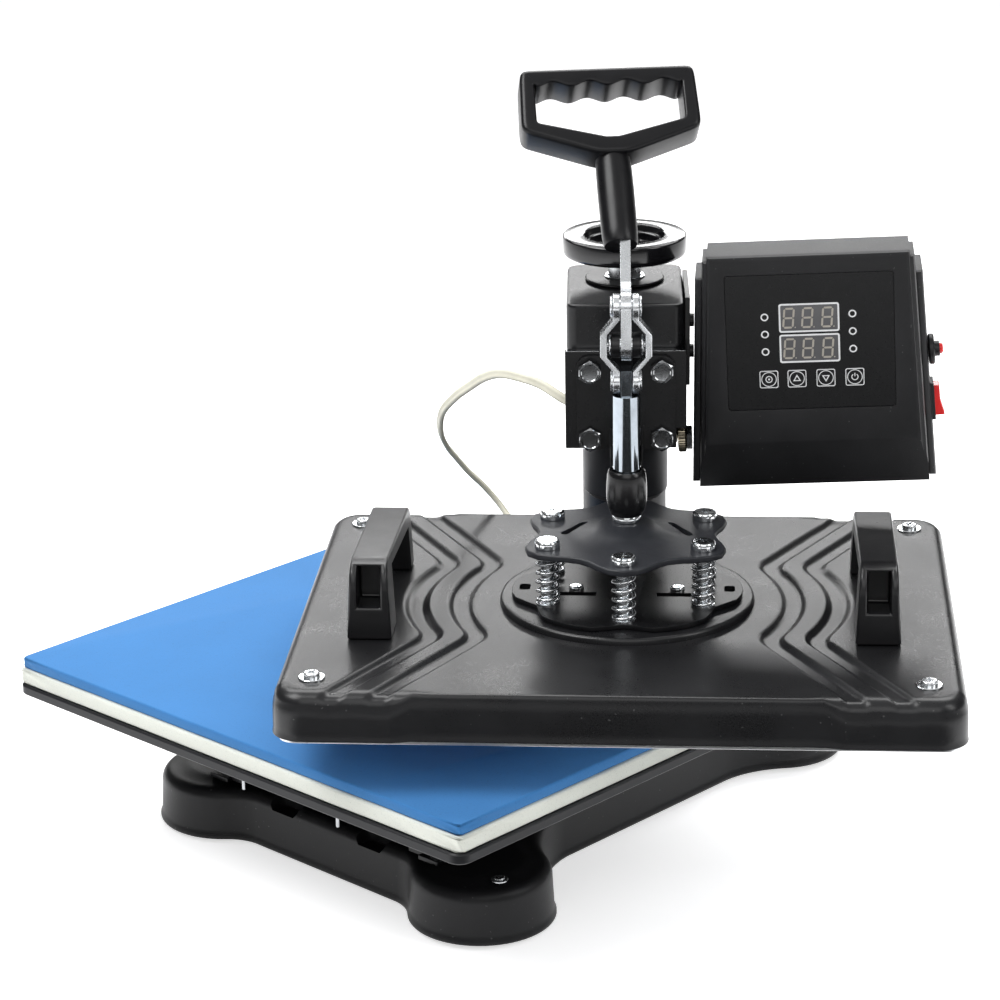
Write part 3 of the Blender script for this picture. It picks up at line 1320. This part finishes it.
class HEATPRESS_OT_base_details(bpy.types.Operator):
    """Screws, tabs and studs between the base casting and the lower platen"""

    bl_idname = "heatpress.base_details"
    bl_label = "Base details"

    def execute(self, context):
        under, top = level("lower_platen", top=False) / MM, level("base_casting") / MM
        stud = lathe([(2.6, 0), (2.6, 1.2), (1.1, 1.4), (1.1, 14), (0.8, 14.4)], 20)
        spots = ((0, -138), (80, -138), (0, 138), (-80, 138))
        studs = [(*stud, spot(BASE, x, y, under - 0.02) @ turn(180, "X")) for x, y in spots]
        solid("platen_studs", studs, "dark_steel", "base")

        profile = [(0, 0), (18, 0), (18, 3), (3, 3), (3, 20), (0, 20)]
        points = [(side * MM, -y * MM, z * MM) for side in (-8, 8) for y, z in profile]
        tabs = [(points, ring_faces(2, len(profile)), spot(BASE, x, -60, top)) for x in (-92, 92)]
        rounded(solid("base_tabs", tabs, "satin", "base", sharp=0), 0.5 * MM)
        heads = [(*pan_head(4.2, 2.6), spot(BASE, x, -70, top + 3)) for x in (-92, 92)]
        solid("tab_screws", heads, "zinc", "base")

        ring = lathe([(3.2, 0), (5.2, 0), (5.2, 0.5), (4.6, 0.9), (3.2, 0.9)], 32, looped=True)
        plugs = []
        for x, y in ((-111, -52.3), (139, -66), (-80, 262), (80, 262)):
            place = spot(BASE, x, y, top - 0.05)
            plugs += [(*ring, place), (*pan_head(3.1, 1.6), place)]
        solid("lobe_screws", plugs, "zinc", "base")
        return {"FINISHED"}


class HEATPRESS_OT_head_details(bpy.types.Operator):
    """Bosses on the lever's pivot, ring round the pressure screw, worn plate edge and the box's rear screws"""

    bl_idname = "heatpress.head_details"
    bl_label = "Head details"

    def execute(self, context):
        boss = lathe([(3.4, 0), (3.4, 0.8), (2.6, 1.3)], 28)
        sides = [Matrix.Translation(PIVOT) @ HEAD_TURN @ turn(side * 90, "Y") for side in (-1, 1)]
        bosses = [(*boss, side @ shift(0, 0, 10.25)) for side in sides]
        solid("pivot_bosses", bosses, "dark_steel", "carriage")

        screw, top = middle("pressure_screw"), level("top_washer") / MM
        ring = lathe([(10.5, 0), (12.2, 0), (12.2, 0.7), (11.8, 1.0), (10.5, 1.0)], 40, looped=True)
        place = Matrix.Translation((screw.x, screw.y, 0)) @ shift(0, 0, top - 0.05)
        solid("screw_ring", [(*ring, place)], "bright", "carriage")

        plate, edge = middle("packing_plate"), level("packing_plate")
        place = Matrix.Translation((plate.x, plate.y, edge - 0.1 * MM)) @ HEAD_TURN
        solid("packing_top", [(*block(70, 5, 0.35), place)], "bright", "carriage")

        face = BOX @ shift(0, 39.3, 0) @ turn(-90, "X")
        head = pan_head(3.2, 1.8)
        screws = [(*head, spot(face, x, -z, -0.02)) for x, z in ((-58, 12), (58, 12), (-52, 113), (52, 113))]
        solid("box_rear_screws", screws, "zinc", "carriage")
        return {"FINISHED"}


class HEATPRESS_OT_inlet_pins(bpy.types.Operator):
    """Three flat pins in the mains inlet"""

    bl_idname = "heatpress.inlet_pins"
    bl_label = "Inlet pins"

    def execute(self, context):
        inlet = BOX @ Matrix.Translation(BOX.inverted() @ middle("power_inlet"))
        pin = prism([(-1, -2), (1, -2), (1, 2), (-1, 2)], 0, 8)
        pins = [(*pin, inlet @ shift(x, -3.2, z) @ turn(-90, "X")) for x, z in ((-6, -3), (6, -3), (0, 3.5))]
        solid("inlet_pins", pins, "bright", "carriage")
        return {"FINISHED"}


class HEATPRESS_PT_panel(bpy.types.Panel):
    """Lists the settings and the press's groups of pieces"""

    bl_idname = "HEATPRESS_PT_panel"
    bl_label = "Heat press"
    bl_space_type = "VIEW_3D"
    bl_region_type = "UI"
    bl_category = "Heat press"

    def draw(self, context):
        for name in GROUPS:
            settings = getattr(context.scene, name)
            for field in settings.bl_rna.properties:
                if field.identifier not in ("name", "rna_type"):
                    self.layout.prop(settings, field.identifier)
        for operator in OPERATORS:
            self.layout.operator(operator.bl_idname)


OPERATORS = (
    HEATPRESS_OT_stage, HEATPRESS_OT_cable, HEATPRESS_OT_shells, HEATPRESS_OT_base, HEATPRESS_OT_cover,
    HEATPRESS_OT_grip, HEATPRESS_OT_coupling, HEATPRESS_OT_pads, HEATPRESS_OT_springs,
    HEATPRESS_OT_screws, HEATPRESS_OT_bolts, HEATPRESS_OT_wheel, HEATPRESS_OT_panel_marks,
    HEATPRESS_OT_connector, HEATPRESS_OT_base_details, HEATPRESS_OT_head_details, HEATPRESS_OT_inlet_pins,
)
GROUPS = {"press_stage": PressStage, "press_colours": PressColours, "press_sizes": PressSizes}


def register():
    for group in (*GROUPS.values(), *OPERATORS, HEATPRESS_PT_panel):
        bpy.utils.register_class(group)
    for name, group in GROUPS.items():
        setattr(bpy.types.Scene, name, PointerProperty(type=group))


def unregister():
    for name in GROUPS:
        delattr(bpy.types.Scene, name)
    for group in reversed((*GROUPS.values(), *OPERATORS, HEATPRESS_PT_panel)):
        bpy.utils.unregister_class(group)


def main():
    register()
    finishes(bpy.context.scene.press_colours)
    for operator in OPERATORS:
        group, name = operator.bl_idname.split(".")
        getattr(getattr(bpy.ops, group), name)()


if __name__ == "__main__":
    main()
